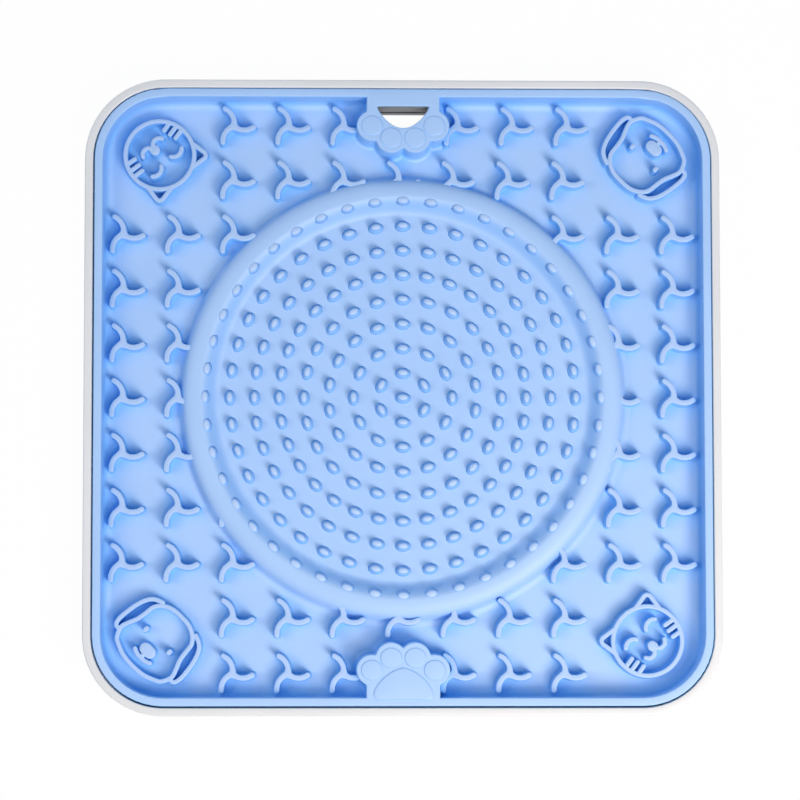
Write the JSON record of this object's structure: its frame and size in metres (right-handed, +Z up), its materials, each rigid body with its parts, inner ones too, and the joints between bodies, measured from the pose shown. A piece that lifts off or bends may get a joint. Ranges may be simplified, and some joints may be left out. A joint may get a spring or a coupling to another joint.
{
  "type": "lick mat",
  "caption": "Square pet lick mat: a blue silicone mat with ridges, animal faces and a raised nubbed bowl, lying loose in a shallow white tray with a paw-shaped hanging slot.",
  "frame": {"origin": "on the surface the tray stands on, under the middle of the tray", "axes": "+Z up, out of the licking side; +Y towards the edge with the hanging slot; +X to the right seen from above with that edge at the top"},
  "size_m": [0.206, 0.206, 0.0132],
  "materials": {
    "tray_plastic": "white moulded polypropylene, satin",
    "silicone": "light blue silicone, soft satin",
    "foot_rubber": "pale grey soft rubber, matt"
  },
  "bodies": {
    "tray": {"base_tray": "tray_plastic", "foot_front_left": "foot_rubber", "foot_front_right": "foot_rubber", "foot_back_left": "foot_rubber", "foot_back_right": "foot_rubber"},
    "mat": {"lick_mat": "silicone"}
  },
  "joints": [
    {"name": "mat_lift", "type": "slide", "parent": "tray", "child": "mat", "axis": [0, 0, 1], "range_m": [0, 0.03]}
  ]
}
